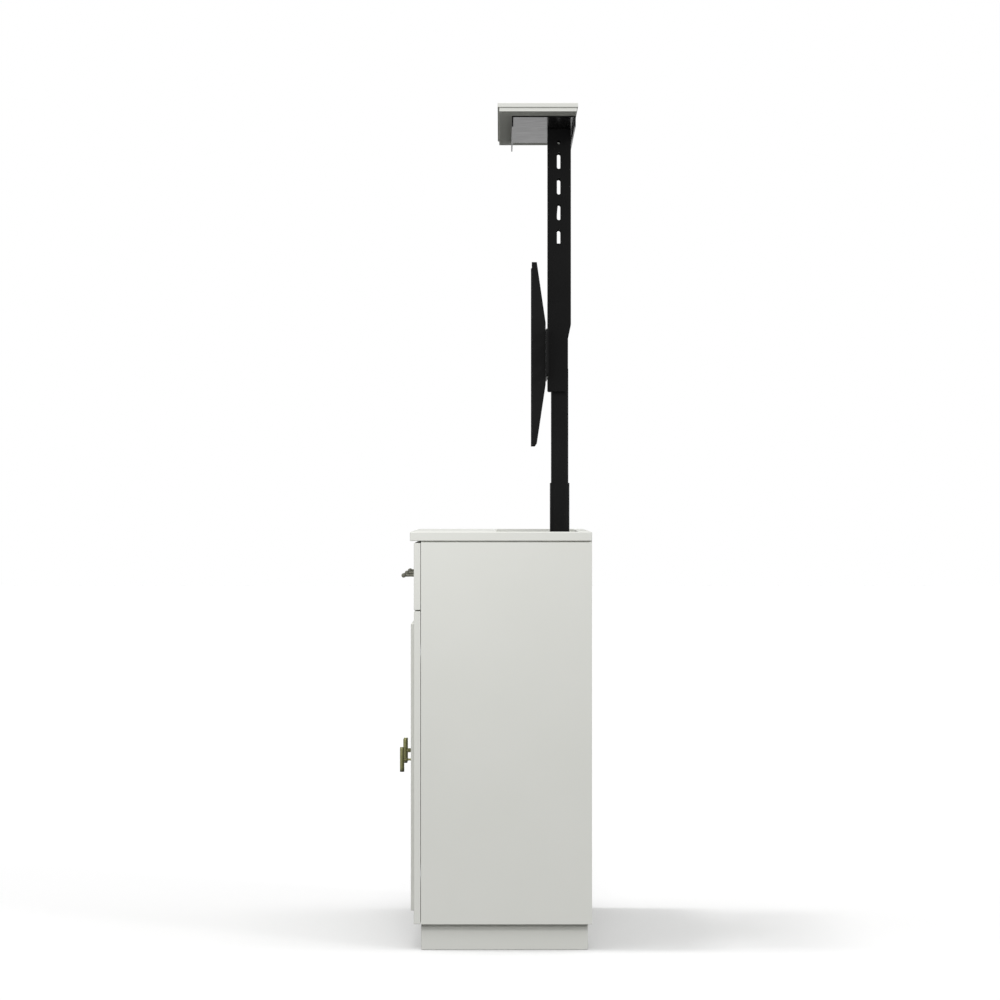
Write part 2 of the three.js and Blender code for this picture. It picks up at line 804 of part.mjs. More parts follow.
// Cross rail that the screen arms hang on, with two rows of slots and four bolts to the carriage.
function mountPlate() {
  const span = [plateFrontY, carriageFrontY];
  const shape = roundedShape(plateMiddle, 0, plateHeight, 2 * plateHalfLength, plateCorner);
  const through = [span[0] - cutOverrun, span[1] + cutOverrun];
  const slotPlaces = plateSlotOffsets.flatMap((offset) => [-offset, offset]);
  const slots = slotPlaces.flatMap((slotX) => [-1, 1].map((row) => {
    const slotZ = plateMiddle + row * plateSlotRise;
    return prism(slotShape(slotZ, slotX, plateSlotLength, plateSlotWidth), "y", through);
  }));
  const heads = [-1, 1].flatMap((side) => [-1, 1].map((row) => {
    const head = rod(boltHeadRadius, "y", [plateFrontY - boltHeadHeight, carriageFrontY], hexSides);
    return head.translate(side * boltSideOffset, 0, plateMiddle + row * boltRise);
  }));
  const plate = cut(prism(shape, "y", span), ...slots);
  return piece("mount_plate", "blackSteel", join(plate, ...heads));
}

// Bolt on the left face of the bracket, which clamps a tail of the lid post from outside.
function lockBolt() {
  const washerFace = -bracketOuterX - lockWasherThickness;
  const washer = rod(lockWasherRadius, "x", [washerFace, -bracketOuterX]);
  const head = rod(boltHeadRadius, "x", [washerFace - boltHeadHeight, -bracketOuterX], hexSides);
  const middleY = (carriageFrontY + carriageBackY) / 2;
  const bolt = join(washer, head).translate(0, middleY, bracketTop - postTail / 2);
  return piece("lock_bolt", "zinc", bolt);
}

// Vertical arm that a television is screwed to: a folded channel, deepest where it hangs on the plate.
function screenArm(name, side) {
  const x = side * armSpacing / 2;
  const [footZ, topZ] = about(plateMiddle, armLength);
  const [waistBottomZ, waistTopZ] = about(plateMiddle, armWaistHeight);
  const endY = armFrontY + armEndDepth;
  const backEdgeY = armFrontY + armBackDepth;
  const outline = polygon([
    [armFrontY, footZ],
    [endY - armFootChamfer, footZ],
    [endY, footZ + armFootChamfer],
    [backEdgeY, waistBottomZ],
    [backEdgeY, waistTopZ],
    [endY, topZ],
    [armFrontY, topZ],
  ]);
  const hollow = box(
    about(x, armWidth - 2 * sheet),
    [armFrontY + sheet, backEdgeY + cutOverrun],
    [footZ - cutOverrun, topZ + cutOverrun],
  );
  const holes = screenHoleRows.flatMap((row) => [-row, row].map((rise) => {
    const through = [armFrontY - cutOverrun, armFrontY + sheet + cutOverrun];
    return rod(screenHoleRadius, "y", through, smallRoundSteps).translate(x, 0, plateMiddle + rise);
  }));
  return piece(name, "blackSteel", cut(prism(outline, "x", about(x, armWidth)), hollow, ...holes));
}

function lidTray() {
  const [frontY, backEdgeY] = [columnY - trayFrontFromColumn, columnY + trayBackFromColumn];
  const channel = cut(
    box(about(0, trayLength), [frontY, backEdgeY], [lidBottomZ - trayDepth, lidBottomZ]),
    box(
      about(0, trayLength + cutOverrun),
      [frontY + traySheet, backEdgeY - traySheet],
      [lidBottomZ - trayDepth - cutOverrun, trayPlateZ],
    ),
  );
  return piece("lid_tray", "blackSteel", channel);
}

function lidBoards() {
  const seamZ = lidBottomZ + lidLowerThickness;
  const lower = easedBoard(
    about(0, lidLength - 2 * lidStep),
    [lidFrontY + lidStep, lidBackY - lidBackStep],
    [lidBottomZ, seamZ],
    lidEdge,
  );
  const upper = easedBoard(about(0, lidLength), [lidFrontY, lidBackY], [seamZ, lidTopZ], lidEdge);
  return [piece("lid_lower_board", "paint", lower), piece("lid_upper_board", "paint", upper)];
}

const carcass = new THREE.Group();
carcass.add(
  cabinetTop(),
  sidePanel("side_panel_left", -1),
  sidePanel("side_panel_right", 1),
  backPanel(),
  ...innerBoards(),
  plinth(),
  ...doorPlans.flatMap((plan) => [hingeArm(plan, "lower"), hingeArm(plan, "upper")]),
);

const lift = new THREE.Group();
lift.add(
  ...liftDrive(),
  controlBox(),
  tube("base_tube", 0),
  tube("stage_1_tube", 1),
  driveNut(),
  tube("stage_2_tube", 2),
);

const carriage = new THREE.Group();
carriage.add(
  tube("stage_3_tube", stageCount),
  columnHead(),
  carriageBracket(),
  lidPost(),
  mountPlate(),
  lockBolt(),
  screenArm("vesa_arm_left", -1),
  screenArm("vesa_arm_right", 1),
  lidTray(),
  ...lidBoards(),
);
lift.add(carriage);

// The whole object stands with the middle of its outer box, front pulls included, over the origin.
const cabinet = new THREE.Group();
cabinet.add(carcass, lift, ...doorPlans.map(door), ...drawerPlans.map(drawer));
cabinet.position.y = -(pullReachY + backY) / 2;

export default cabinet;
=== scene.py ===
"""TV lift cabinet: finishes, small fittings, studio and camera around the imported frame. Metres."""

import json
import math

import bmesh
import bpy
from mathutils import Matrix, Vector

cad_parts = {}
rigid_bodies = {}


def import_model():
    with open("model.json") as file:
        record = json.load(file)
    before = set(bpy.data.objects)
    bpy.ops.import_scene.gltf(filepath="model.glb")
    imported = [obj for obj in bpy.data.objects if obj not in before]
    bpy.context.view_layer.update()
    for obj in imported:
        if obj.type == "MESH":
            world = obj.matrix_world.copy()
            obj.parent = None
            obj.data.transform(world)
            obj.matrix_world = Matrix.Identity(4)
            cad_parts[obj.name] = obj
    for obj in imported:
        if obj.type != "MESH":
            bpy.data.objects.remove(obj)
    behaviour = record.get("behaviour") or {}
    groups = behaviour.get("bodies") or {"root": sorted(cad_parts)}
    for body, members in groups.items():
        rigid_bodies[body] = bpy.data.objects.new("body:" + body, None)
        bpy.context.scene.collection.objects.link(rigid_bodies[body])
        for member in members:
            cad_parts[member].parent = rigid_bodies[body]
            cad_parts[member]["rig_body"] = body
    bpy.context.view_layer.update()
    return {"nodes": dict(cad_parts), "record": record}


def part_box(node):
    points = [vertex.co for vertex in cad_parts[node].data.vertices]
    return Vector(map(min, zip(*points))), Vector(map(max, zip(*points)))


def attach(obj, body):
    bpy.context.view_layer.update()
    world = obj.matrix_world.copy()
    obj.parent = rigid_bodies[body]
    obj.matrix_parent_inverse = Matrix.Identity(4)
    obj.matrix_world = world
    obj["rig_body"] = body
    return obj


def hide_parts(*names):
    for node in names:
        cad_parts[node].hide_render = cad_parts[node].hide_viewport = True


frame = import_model()
nodes = frame["nodes"]
scene = bpy.context.scene
scene.view_settings.view_transform = "Standard"

MM = 0.001
FULL_TURN = 2 * math.pi
HALF_TURN = math.pi
QUARTER = math.pi / 2
RIGHT = (1, 0, 0)
BACK = (0, 1, 0)
UP = (0, 0, 1)
SIDES = ("left", "middle", "right")
LEVELS = ("lower", "upper")


# Camera, level, looking along -X at the end of the cabinet
CAMERA_PLACE = (15.036, 0.0123, 0.989)
SENSOR_WIDTH = 36
FOCAL_LENGTH = 234.216
NEAREST_SHOWN = 0.1
FARTHEST_SHOWN = 200

camera_data = bpy.data.cameras.new("camera")
camera_data.sensor_width = SENSOR_WIDTH
camera_data.lens = FOCAL_LENGTH
camera_data.clip_start = NEAREST_SHOWN
camera_data.clip_end = FARTHEST_SHOWN
camera = bpy.data.objects.new("camera", camera_data)
camera.location = CAMERA_PLACE
camera.rotation_euler = (QUARTER, 0, QUARTER)
scene.collection.objects.link(camera)
scene.camera = camera


# Materials
NOISE_LOW = 0.3
NOISE_HIGH = 0.7
PATCH_DETAIL = 3.0
GRAIN_DETAIL = 3.0
WEAR_DETAIL = 4.0
WEAR_TO_PATCH_SCALE = 2.7


def link_noise(tree, scale, detail, stretch, space):
    """A noise pattern in object space or along the map, its scale in cells per metre."""
    place = tree.nodes.new("ShaderNodeTexCoord")
    mapping = tree.nodes.new("ShaderNodeMapping")
    mapping.inputs["Scale"].default_value = stretch
    noise = tree.nodes.new("ShaderNodeTexNoise")
    noise.inputs["Scale"].default_value = scale
    noise.inputs["Detail"].default_value = detail
    tree.links.new(place.outputs[space], mapping.inputs["Vector"])
    tree.links.new(mapping.outputs["Vector"], noise.inputs["Vector"])
    return noise.outputs["Fac"]


def link_range(tree, value, low, high, from_low=NOISE_LOW, from_high=NOISE_HIGH):
    """The value, taken from one range to another."""
    span = tree.nodes.new("ShaderNodeMapRange")
    span.inputs["From Min"].default_value = from_low
    span.inputs["From Max"].default_value = from_high
    span.inputs["To Min"].default_value = low
    span.inputs["To Max"].default_value = high
    tree.links.new(value, span.inputs["Value"])
    return span.outputs["Result"]


def link_mix(tree, factor, first, second):
    """A mix of two colours, of which the first can be another node's output."""
    mix = tree.nodes.new("ShaderNodeMix")
    mix.data_type = "RGBA"
    if isinstance(first, bpy.types.NodeSocket):
        tree.links.new(first, mix.inputs["A"])
    else:
        mix.inputs["A"].default_value = (*first, 1)
    mix.inputs["B"].default_value = (*second, 1)
    tree.links.new(factor, mix.inputs["Factor"])
    return mix.outputs["Result"]


def link_shaded_end(tree, colour, end_shade, lit_from, shaded_from):
    """The colour, turning darker towards one end of a turned piece: painted shade."""
    place = tree.nodes.new("ShaderNodeTexCoord")
    parts = tree.nodes.new("ShaderNodeSeparateXYZ")
    tree.links.new(place.outputs["UV"], parts.inputs["Vector"])
    wear_and_shade = link_range(tree, parts.outputs["X"], 1, 0, shaded_from, lit_from)
    return link_mix(tree, wear_and_shade, colour, end_shade)


def finish(
    name,
    dark,
    light,
    rough,
    patch_scale,
    grain_scale,
    grain_depth,
    grain_strength,
    metallic=0.0,
    specular=0.5,
    stretch=(1, 1, 1),
    space="Object",
    shaded_end=None,
):
    """A surface whose colour, roughness and relief all vary over it."""
    material = bpy.data.materials.new(name)
    material.use_nodes = True
    tree = material.node_tree
    shader = tree.nodes["Principled BSDF"]
    shader.inputs["Metallic"].default_value = metallic
    shader.inputs["Specular IOR Level"].default_value = specular
    patches = link_noise(tree, patch_scale, PATCH_DETAIL, stretch, space)
    colour = link_mix(tree, link_range(tree, patches, 0, 1), dark, light)
    # A darker end is painted shade.
    if shaded_end:
        colour = link_shaded_end(tree, colour, **shaded_end)
    tree.links.new(colour, shader.inputs["Base Color"])
    wear_and_shade = link_noise(tree, patch_scale * WEAR_TO_PATCH_SCALE, WEAR_DETAIL, stretch, space)
    tree.links.new(link_range(tree, wear_and_shade, *rough), shader.inputs["Roughness"])
    grain = link_noise(tree, grain_scale, GRAIN_DETAIL, stretch, space)
    bump = tree.nodes.new("ShaderNodeBump")
    bump.inputs["Strength"].default_value = grain_strength
    bump.inputs["Distance"].default_value = grain_depth
    tree.links.new(grain, bump.inputs["Height"])
    tree.links.new(bump.outputs["Normal"], shader.inputs["Normal"])
    return material


PAINT_SURFACE = {
    "rough": (0.64, 0.74),
    "patch_scale": 4,
    "grain_scale": 700,
    "grain_depth": 0.06 * MM,
    "grain_strength": 0.25,
    "specular": 0.04,
}
STEEL_COLOURS = {
    "dark": (0.0042, 0.0042, 0.0042),
    "light": (0.006, 0.006, 0.006),
    "patch_scale": 9,
}
TURNED_BRASS = {
    "patch_scale": 900,
    "grain_scale": 3200,
    "grain_depth": 0.03 * MM,
    "grain_strength": 0.35,
    "metallic": 1.0,
    "stretch": (1, 0.002, 1),
    "space": "UV",
}

paint = finish(
    "painted_board",
    dark=(0.765, 0.772, 0.728),
    light=(0.785, 0.79, 0.75),
    **PAINT_SURFACE,
)
# A darker copy of the paint for the lid boards' downward faces: painted shade under the lid.
lid_underside_shade = finish(
    "lid_underside_painted_shade",
    dark=(0.355, 0.36, 0.33),
    light=(0.365, 0.37, 0.34),
    **PAINT_SURFACE,
)
foil = finish(
    "drawer_board",
    dark=(0.6, 0.585, 0.53),
    light=(0.68, 0.665, 0.61),
    rough=(0.55, 0.7),
    patch_scale=60,
    grain_scale=500,
    grain_depth=0.06 * MM,
    grain_strength=0.3,
    specular=0.3,
    stretch=(0.12, 0.12, 1),
)
black_steel = finish(
    "black_steel",
    rough=(0.4, 0.5),
    grain_scale=1300,
    grain_depth=0.08 * MM,
    grain_strength=0.3,
    specular=0.09,
    **STEEL_COLOURS,
)
satin_steel = finish(
    "satin_black_steel",
    rough=(0.13, 0.17),
    grain_scale=2500,
    grain_depth=0.01 * MM,
    grain_strength=0.05,
    specular=0.0014,
    **STEEL_COLOURS,
)
# Aged brass for the door pulls' bars, darker towards their lower end as painted shade.
brass = finish(
    "aged_brass",
    dark=(0.15, 0.145, 0.068),
    light=(0.235, 0.235, 0.11),
    rough=(0.26, 0.4),
    shaded_end={"end_shade": (0.05, 0.05, 0.042), "lit_from": -0.018, "shaded_from": -0.028},
    **TURNED_BRASS,
)
# A darker copy of the brass: painted shade on the pulls' posts and on the drawer pulls' bars.
shaded_brass = finish(
    "shaded_brass",
    dark=(0.1, 0.099, 0.08),
    light=(0.165, 0.163, 0.135),
    rough=(0.3, 0.44),
    **TURNED_BRASS,
)
zinc = finish(
    "zinc_steel",
    dark=(0.44, 0.45, 0.46),
    light=(0.56, 0.57, 0.58),
    rough=(0.3, 0.42),
    patch_scale=220,
    grain_scale=1500,
    grain_depth=0.03 * MM,
    grain_strength=0.25,
    metallic=1.0,
)
plastic = finish(
    "black_plastic",
    dark=(0.012, 0.012, 0.0125),
    light=(0.018, 0.018, 0.019),
    rough=(0.5, 0.62),
    patch_scale=30,
    grain_scale=1800,
    grain_depth=0.08 * MM,
    grain_strength=0.5,
    specular=0.3,
)

finishes = {
    "painted_board": paint,
    "drawer_board": foil,
    "black_steel": black_steel,
    "aged_brass": brass,
    "zinc_steel": zinc,
    "black_plastic": plastic,
}
slot_of = {part["node"]: part["material_slot"] for part in frame["record"]["subparts"]}

for node, solid in nodes.items():
    solid.data.materials.clear()
    solid.data.materials.append(finishes[slot_of[node]])


# Mesh helpers
def new_object(name, mesh, slot, body):
    """An object with the finish of its slot, which rides on a body."""
    piece = bpy.data.objects.new(name, mesh)
    scene.collection.objects.link(piece)
    mesh.materials.clear()
    mesh.materials.append(finishes[slot])
    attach(piece, body)
    return piece


def mark_sharp(work, degrees):
    """Smooth shading, with edges that turn more than the angle kept sharp."""
    for face in work.faces:
        face.smooth = True
    for edge in work.edges:
        edge.smooth = edge.calc_face_angle(HALF_TURN) < math.radians(degrees)


def finished_mesh(work, name, sharp):
    """A mesh of the work, which is freed."""
    work.normal_update()
    mark_sharp(work, sharp)
    mesh = bpy.data.meshes.new(name)
    work.to_mesh(mesh)
    work.free()
    return mesh


def apply_modifiers(piece):
    """Replaces a piece's mesh with the result of its modifiers."""
    shown = piece.evaluated_get(bpy.context.evaluated_depsgraph_get())
    made = bpy.data.meshes.new_from_object(shown)
    piece.modifiers.clear()
    piece.data = made


# Solids with eased edges. Angles are in degrees, and round pieces have a larger one than their facets
WELD_DISTANCE = 0.01 * MM
FLAT_WITHIN = 0.6
SOLID_SHARP = 50
EASED_FROM = 30
ROUND_EASED_FROM = 40
FLAT_FACE_WEIGHT = 100
DOWNWARD_NORMAL = -0.7
BOARD_EDGE = 0.35 * MM
PLINTH_EDGE = 1.3 * MM
STEEL_EDGE = 0.3 * MM
CONTROL_BOX_EDGE = 1.2 * MM
DRIVE_EDGE = 0.8 * MM
HINGE_CUP_EDGE = 0.2 * MM
HINGE_ARM_EDGE = 0.5 * MM


def dress(node, edge, segments=2, eased_from=EASED_FROM, under=None, merge_flat=True):
    """A copy of a solid with small rounded edges, standing for that solid.

    Faces that look down can have a finish of their own: a satin sheet, or a darker paint that is
    painted shade.
    """
    source = nodes[node]
    mesh = source.data.copy()
    work = bmesh.new()
    work.from_mesh(mesh)
    bmesh.ops.remove_doubles(work, verts=work.verts, dist=WELD_DISTANCE)
    if merge_flat:
        limit = math.radians(FLAT_WITHIN)
        bmesh.ops.dissolve_limit(work, angle_limit=limit, verts=work.verts, edges=work.edges)
    mark_sharp(work, SOLID_SHARP)
    work.to_mesh(mesh)
    work.free()
    piece = new_object(node + "_eased", mesh, slot_of[node], source["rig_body"])
    rounding = piece.modifiers.new("rounding", "BEVEL")
    rounding.width = edge
    rounding.segments = segments
    rounding.limit_method = "ANGLE"
    rounding.angle_limit = math.radians(eased_from)
    flat = piece.modifiers.new("flat", "WEIGHTED_NORMAL")
    flat.keep_sharp = True
    flat.weight = FLAT_FACE_WEIGHT
    apply_modifiers(piece)
    if under:
        piece.data.materials.append(under)
        for face in piece.data.polygons:
            face.material_index = 1 if face.normal.z < DOWNWARD_NORMAL else 0
    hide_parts(node)


boards = [
    "cabinet_top",
    "side_panel_left",
    "side_panel_right",
    "bottom_panel",
    "bay_partition",
    "drawer_deck",
    "drawer_divider_left",
    "drawer_divider_right",
    "lower_divider",
    "shelf_wide",
    "shelf_narrow",
    "back_panel",
    *(f"{kind}_{side}" for kind in ("door", "drawer_front", "drawer_box") for side in SIDES),
]
for board in boards:
    dress(board, BOARD_EDGE)
dress("plinth_frame", PLINTH_EDGE, segments=3)
# The lid boards' downward faces take the darker paint, which is painted shade.
for board in ("lid_lower_board", "lid_upper_board"):
    dress(board, BOARD_EDGE, under=lid_underside_shade)

steel_pieces = [
    "lift_base_plate",
    "base_tube",
    "stage_1_tube",
    "stage_2_tube",
    "stage_3_tube",
    "column_head",
    "lid_post",
    "mount_plate",
    "vesa_arm_left",
    "vesa_arm_right",
]
for steel_piece in steel_pieces:
    dress(steel_piece, STEEL_EDGE)
dress("carriage_bracket", STEEL_EDGE, merge_flat=False)
dress("lid_tray", STEEL_EDGE, under=satin_steel)
dress("control_box", CONTROL_BOX_EDGE, segments=3)
dress("drive_gearbox", DRIVE_EDGE)
dress("drive_motor", DRIVE_EDGE, eased_from=ROUND_EASED_FROM)
for side in SIDES:
    for level in LEVELS:
        dress(f"hinge_cup_{side}_{level}", HINGE_CUP_EDGE, eased_from=ROUND_EASED_FROM)
        dress(f"hinge_arm_{side}_{level}", HINGE_ARM_EDGE)


# Turned pieces
def turned(work, axis, start, profile, steps):
    """Adds a closed surface of revolution, its profile given as (distance, radius) along the axis.

    The map runs along the axis in metres, and once around it.
    """
    along = Vector(axis)
    side = along.orthogonal().normalized()
    other = along.cross(side)
    map_layer = work.loops.layers.uv.verify()
    rings = []
    for distance, radius in profile:
        centre = Vector(start) + along * distance
        ring = []
        for step in range(steps):
            angle = FULL_TURN * step / steps
            spoke = side * math.cos(angle) + other * math.sin(angle)
            ring.append(work.verts.new(centre + spoke * radius))
        rings.append(ring)
    distances = [distance for distance, _ in profile]
    for index in range(len(rings) - 1):
        near, far = rings[index], rings[index + 1]
        low, high = distances[index], distances[index + 1]
        for step in range(steps):
            after = (step + 1) % steps
            face = work.faces.new((near[step], near[after], far[after], far[step]))
            begin, end = step / steps, (step + 1) / steps
            corners = ((low, begin), (low, end), (high, end), (high, begin))
            for loop, corner in zip(face.loops, corners):
                loop[map_layer].uv = corner
    for ring, distance in ((rings[0][::-1], distances[0]), (rings[-1], distances[-1])):
        face = work.faces.new(ring)
        for loop in face.loops:
            loop[map_layer].uv = (distance, 0)


def middle_of(node):
    """The middle of a node's box."""
    low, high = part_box(node)
    return (low + high) / 2


# Pulls: a turned bar on a waisted post with a small foot
BAR_STEPS = 48
POST_STEPS = 40
PULL_SHARP = 38
PULL_BAR_RADIUS = 5 * MM
PULL_BAR_EDGE = 0.5 * MM
PULL_POST_RADIUS = 3.2 * MM
DOOR_PULL_WAIST = 2.4 * MM
DRAWER_PULL_WAIST = 3 * MM
PULL_FOOT_RADIUS = 4.4 * MM
PULL_FOOT_HEIGHT = 1.2 * MM

# Shares: of the softened edge, of the post's reach, of the foot's height, and of a radius
EDGE_SHARES = (0.29, 0.71)
STRAIGHT_ENDS = 0.42
WAIST_STARTS = 0.5
WAIST_MIDDLE = 0.6
WAIST_ENDS = 0.74
STRAIGHT_RESUMES = 0.84
FOOT_EDGE_STARTS = 0.8
FOOT_EDGE_ENDS = 0.5
WAIST_SHOULDER = 1.04
FOOT_NECK = 1.14
FOOT_EDGE = 0.97


def rounded_bar(length, radius, edge):
    """The profile of a round bar with softened ends and flat faces."""
    half = length / 2
    near_end = [(-half, radius - edge)]
    far_end = [(half, radius - edge)]
    for share in EDGE_SHARES:
        inset = edge * share * share
        eased = radius - edge * (1 - share)
        near_end.append((-half + inset, eased))
        far_end.insert(0, (half - inset, eased))
    return [*near_end, (-half + edge, radius), (half - edge, radius), *far_end]


def waisted_post(reach, waist):
    """The profile of a pull's post, from the middle of the bar to the board it stands on."""
    shoulder = waist * WAIST_SHOULDER
    return [
        (0, PULL_POST_RADIUS),
        (reach * STRAIGHT_ENDS, PULL_POST_RADIUS),
        (reach * WAIST_STARTS, shoulder),
        (reach * WAIST_MIDDLE, waist),
        (reach * WAIST_ENDS, shoulder),
        (reach * STRAIGHT_RESUMES, PULL_POST_RADIUS),
        (reach - PULL_FOOT_HEIGHT, PULL_POST_RADIUS * FOOT_NECK),
        (reach - PULL_FOOT_HEIGHT * FOOT_EDGE_STARTS, PULL_FOOT_RADIUS * FOOT_EDGE),
        (reach - PULL_FOOT_HEIGHT * FOOT_EDGE_ENDS, PULL_FOOT_RADIUS),
        (reach, PULL_FOOT_RADIUS),
    ]


def turned_pull(node, bar_axis, waist, bar_finish):
    """A bar of one finish on a post in the darker brass that is painted shade, with both in one mesh.
    """
    low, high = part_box(node)
    middle = middle_of(node)
    centre = (middle.x, low.y + PULL_BAR_RADIUS, middle.z)
    length = (high - low).dot(Vector(bar_axis))
    reach = high.y - (low.y + PULL_BAR_RADIUS)
    work = bmesh.new()
    bar = rounded_bar(length, PULL_BAR_RADIUS, PULL_BAR_EDGE)
    turned(work, bar_axis, centre, bar, BAR_STEPS)
    bar_faces = len(work.faces)
    turned(work, BACK, centre, waisted_post(reach, waist), POST_STEPS)
    for index, face in enumerate(work.faces):
        face.material_index = 0 if index < bar_faces else 1
    mesh = finished_mesh(work, node + "_turned", PULL_SHARP)
    piece = new_object(node + "_turned", mesh, slot_of[node], nodes[node]["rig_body"])
    mesh.materials.clear()
    mesh.materials.append(bar_finish)
    mesh.materials.append(shaded_brass)
    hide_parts(node)


for side in SIDES:
    turned_pull("door_pull_" + side, UP, DOOR_PULL_WAIST, brass)
    # The drawer pulls' bars take the darker brass, painted shade.
    turned_pull("drawer_pull_" + side, RIGHT, DRAWER_PULL_WAIST, shaded_brass)


# Screws, shelf pins and inlet pins
FITTING_SLOT = "zinc_steel"
FITTING_STEPS = 24
FITTING_SHARP = 35

# Screw heads with a round recess, from the seat up, in shares of their height and radius
PAN_HEAD = ((0, 1), (0.4, 1), (0.75, 0.88), (1, 0.6), (1, 0.42), (0.35, 0.36))
FLUSH_HEAD = ((0, 1), (1, 0.96), (1, 0.5), (0.3, 0.44))

# Radius and height of the screw heads
CUP_SCREW = (3.4 * MM, 0.15 * MM)
PLATE_SCREW = (3.6 * MM, 1.8 * MM)
PULL_SCREW = (4 * MM, 2 * MM)
BACK_SCREW = (3.2 * MM, 0.5 * MM)
BASE_SCREW = (4 * MM, 2.4 * MM)
CASE_SCREW = (2.6 * MM, 1.6 * MM)

CUP_SCREW_OFFSET = 24 * MM
PLATE_SHEET = 4 * MM
PLATE_HALF_LENGTH = 23 * MM
PLATE_SCREW_OFFSET = 15 * MM
DRAWER_WALL = 12 * MM
FRONT_SCREW_OFFSET = 140 * MM
PIN_RADIUS = 2.5 * MM
PIN_REACH = 8 * MM
PIN_EDGE = 0.4 * MM
PIN_INSET = 24 * MM
BACK_SCREW_INSET = 12 * MM
BACK_SCREW_COLUMNS = 7
BACK_SCREW_ROWS = 5
BASE_SCREW_INSETS = (8.5 * MM, 17 * MM)
CASE_SCREW_INSETS = (9 * MM, 6.3 * MM)
INLET_PIN_RADIUS = 1.1 * MM
INLET_PIN_REACH = 9 * MM
INLET_PIN_TIP_RADIUS = 0.66 * MM
INLET_PIN_TIP_START = 8.28 * MM
INLET_PIN_SPACING = 6 * MM
INLET_PIN_RISE = 2 * MM
INLET_DEPTH = 12 * MM


def turned_set(name, host, places, direction, profile):
    """Equal turned pieces on a host's body, made as one object."""
    work = bmesh.new()
    for place in places:
        turned(work, direction, place, profile, FITTING_STEPS)
    mesh = finished_mesh(work, name, FITTING_SHARP)
    new_object(name, mesh, FITTING_SLOT, nodes[host]["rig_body"])


def screw_head(shape, size):
    """The profile of a screw head of one shape, its size given as radius and height."""
    radius, height = size
    return [(height * rise, radius * width) for rise, width in shape]


def hinge_screws(door, level):
    """Two screws beside the cup of a hinge and two in its mounting plate."""
    cup = f"hinge_cup_{door}_{level}"
    cup_middle = middle_of(cup)
    cup_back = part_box(cup)[1].y
    offsets = (-CUP_SCREW_OFFSET, CUP_SCREW_OFFSET)
    turned_set(
        f"cup_screws_{door}_{level}",
        cup,
        [(cup_middle.x, cup_back, cup_middle.z + offset) for offset in offsets],
        BACK,
        screw_head(FLUSH_HEAD, CUP_SCREW),
    )
    arm = f"hinge_arm_{door}_{level}"
    low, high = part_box(arm)
    arm_z = middle_of(arm).z
    inwards = 1 if door == "left" else -1
    carrier = low.x if door == "left" else high.x
    seat = carrier + inwards * PLATE_SHEET
    row = high.y - PLATE_HALF_LENGTH
    offsets = (-PLATE_SCREW_OFFSET, PLATE_SCREW_OFFSET)
    turned_set(
        f"plate_screws_{door}_{level}",
        arm,
        [(seat, row, arm_z + offset) for offset in offsets],
        (inwards, 0, 0),
        screw_head(PAN_HEAD, PLATE_SCREW),
    )


def front_screws(side):
    """The screw of a door's pull, and three screws that hold a drawer's front."""
    pull = middle_of("door_pull_" + side)
    door_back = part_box("door_" + side)[1].y
    turned_set(
        f"door_pull_screw_{side}",
        "door_" + side,
        [(pull.x, door_back, pull.z)],
        BACK,
        screw_head(PAN_HEAD, PULL_SCREW),
    )
    grip = middle_of("drawer_pull_" + side)
    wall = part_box("drawer_box_" + side)[0].y + DRAWER_WALL
    offsets = (-FRONT_SCREW_OFFSET, 0, FRONT_SCREW_OFFSET)
    turned_set(
        f"drawer_screws_{side}",
        "drawer_box_" + side,
        [(grip.x + offset, wall, grip.z) for offset in offsets],
        BACK,
        screw_head(PAN_HEAD, PULL_SCREW),
    )


def shelf_pins(shelf):
    """Two pins under each end of a shelf."""
    low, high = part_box(shelf)
    rows = (low.y + PIN_INSET, high.y - PIN_INSET)
    profile = [
        (0, PIN_RADIUS),
        (PIN_REACH - PIN_EDGE, PIN_RADIUS),
        (PIN_REACH, PIN_RADIUS - PIN_EDGE),
    ]
    for end, x, inwards in (("left", low.x, 1), ("right", high.x, -1)):
        places = [(x, y, low.z - PIN_RADIUS) for y in rows]
        turned_set(f"{shelf}_pins_{end}", shelf, places, (inwards, 0, 0), profile)


def spread(low, high, count):
    """Evenly spaced values, with both ends."""
    return [low + (high - low) * step / (count - 1) for step in range(count)]


def back_screws():
    """Screws along all four edges of the back panel."""
    low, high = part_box("back_panel")
    left, right = low.x + BACK_SCREW_INSET, high.x - BACK_SCREW_INSET
    foot, top = low.z + BACK_SCREW_INSET, high.z - BACK_SCREW_INSET
    columns = spread(left, right, BACK_SCREW_COLUMNS)
    inner_rows = spread(foot, top, BACK_SCREW_ROWS)[1:-1]
    places = [(x, high.y, z) for x in columns for z in (foot, top)]
    places += [(x, high.y, z) for x in (left, right) for z in inner_rows]
    turned_set("back_screws", "back_panel", places, BACK, screw_head(FLUSH_HEAD, BACK_SCREW))


def corner_screws(name, host, insets, size, left=None):
    """Four screws on top of a host, in from its corners or from another left edge."""
    low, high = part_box(host)
    start = low.x if left is None else left
    columns = (start + insets[0], high.x - insets[0])
    rows = (low.y + insets[1], high.y - insets[1])
    places = [(x, y, high.z) for x in columns for y in rows]
    turned_set(name, host, places, UP, screw_head(PAN_HEAD, size))


def inlet_pins():
    """Three contacts in the mains inlet at the end of the control box."""
    middle = middle_of("control_box")
    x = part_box("control_box")[1].x - INLET_DEPTH
    low_row, high_row = middle.z - INLET_PIN_RISE, middle.z + INLET_PIN_RISE
    places = [
        (x, middle.y - INLET_PIN_SPACING, low_row),
        (x, middle.y, high_row),
        (x, middle.y + INLET_PIN_SPACING, low_row),
    ]
    profile = [
        (0, INLET_PIN_RADIUS),
        (INLET_PIN_TIP_START, INLET_PIN_RADIUS),
        (INLET_PIN_REACH, INLET_PIN_TIP_RADIUS),
    ]
    turned_set("inlet_pins", "control_box", places, RIGHT, profile)


